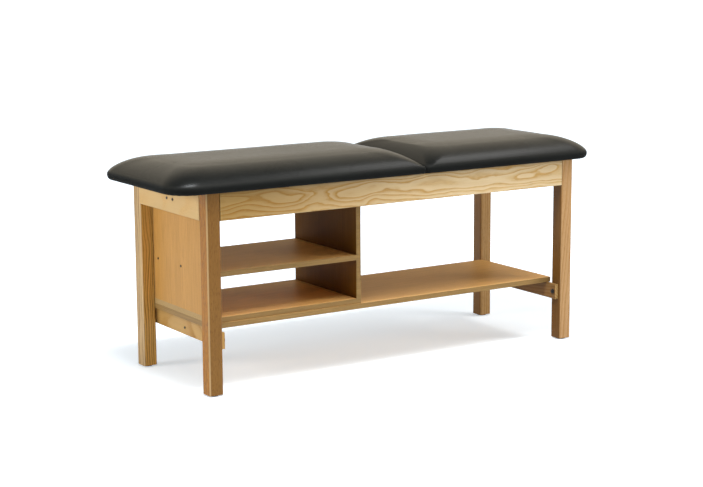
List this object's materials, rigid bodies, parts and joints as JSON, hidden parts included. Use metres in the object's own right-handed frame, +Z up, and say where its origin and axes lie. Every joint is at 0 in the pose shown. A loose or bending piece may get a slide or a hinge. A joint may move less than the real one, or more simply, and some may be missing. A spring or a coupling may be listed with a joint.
{
  "type": "treatment table",
  "caption": "Treatment table with a hardwood frame, black padded top whose head section tilts up as a backrest, a long lower shelf and an open storage unit.",
  "frame": {"origin": "centre of the bounding box on the floor, under the middle of the padded top", "axes": "+X along the table towards the head end, -Y towards the front, +Z up"},
  "size_m": [1.829, 0.61, 0.794],
  "materials": {
    "leg_wood": "satin varnish",
    "rail_wood": "satin varnish",
    "shelf_laminate": "satin laminate",
    "panel_laminate": "satin laminate",
    "edge_band": "satin",
    "plywood": "raw",
    "vinyl": "smooth upholstery vinyl",
    "foam": "open foam",
    "zinc_steel": "zinc plated",
    "black_steel": "black oxide",
    "glide_plastic": "matte"
  },
  "bodies": {
    "frame": {"leg_foot_front": "leg_wood", "leg_foot_rear": "leg_wood", "leg_head_front": "leg_wood", "leg_head_rear": "leg_wood", "front_rail": "rail_wood", "rear_rail": "rail_wood", "foot_end_rail": "rail_wood", "head_end_rail": "rail_wood", "unit_cross_rail": "rail_wood", "seam_rail": "rail_wood", "spreader_rail": "rail_wood", "cross_dowels": "plywood", "corner_blocks": "plywood", "rail_dowels": "plywood", "leg_bolts": "zinc_steel", "leg_bolt_nuts": "zinc_steel", "foot_stretcher": "rail_wood", "head_stretcher": "rail_wood", "stretcher_bolts": "black_steel", "long_shelf": "shelf_laminate", "long_shelf_bands": "edge_band", "shelf_angles": "zinc_steel", "shelf_angle_bolts": "black_steel", "unit_base": "shelf_laminate", "unit_end_panel": "panel_laminate", "unit_divider": "shelf_laminate", "unit_middle_shelf": "shelf_laminate", "unit_bands": "edge_band", "unit_shelf_screws": "black_steel", "unit_base_screws": "black_steel", "unit_top_screws": "black_steel", "unit_dowels": "plywood", "end_rail_spacer": "rail_wood", "end_rail_screws": "black_steel", "glides": "glide_plastic", "glide_nails": "zinc_steel", "foot_board": "plywood", "foot_foam": "foam", "foot_cover": "vinyl", "top_angles": "zinc_steel", "top_angle_screws": "black_steel", "hinge_fixed_leaf": "zinc_steel", "hinge_pin": "zinc_steel", "hinge_fixed_screws": "zinc_steel", "rack_front": "zinc_steel", "rack_rear": "zinc_steel", "rack_screws": "black_steel"},
    "backrest": {"backrest_board": "plywood", "backrest_foam": "foam", "backrest_cover": "vinyl", "hinge_moving_leaf": "zinc_steel", "hinge_moving_screws": "zinc_steel", "prop_brackets": "zinc_steel", "prop_bracket_screws": "black_steel"},
    "prop": {"prop_arms": "zinc_steel", "prop_foot_rod": "zinc_steel", "prop_clips": "black_steel"}
  },
  "joints": [
    {"name": "backrest_tilt", "type": "hinge", "parent": "frame", "child": "backrest", "pos_m": [0.111, 0, 0.729], "axis": [0, -1, 0], "range_deg": [0, 65]},
    {"name": "prop_swing", "type": "hinge", "parent": "backrest", "child": "prop", "pos_m": [0.401, 0, 0.679], "axis": [0, 1, 0], "range_deg": [0, 130]}
  ],
  "couplings": [
    {"joint": "prop_swing", "follows": "backrest_tilt", "ratio": 2}
  ]
}
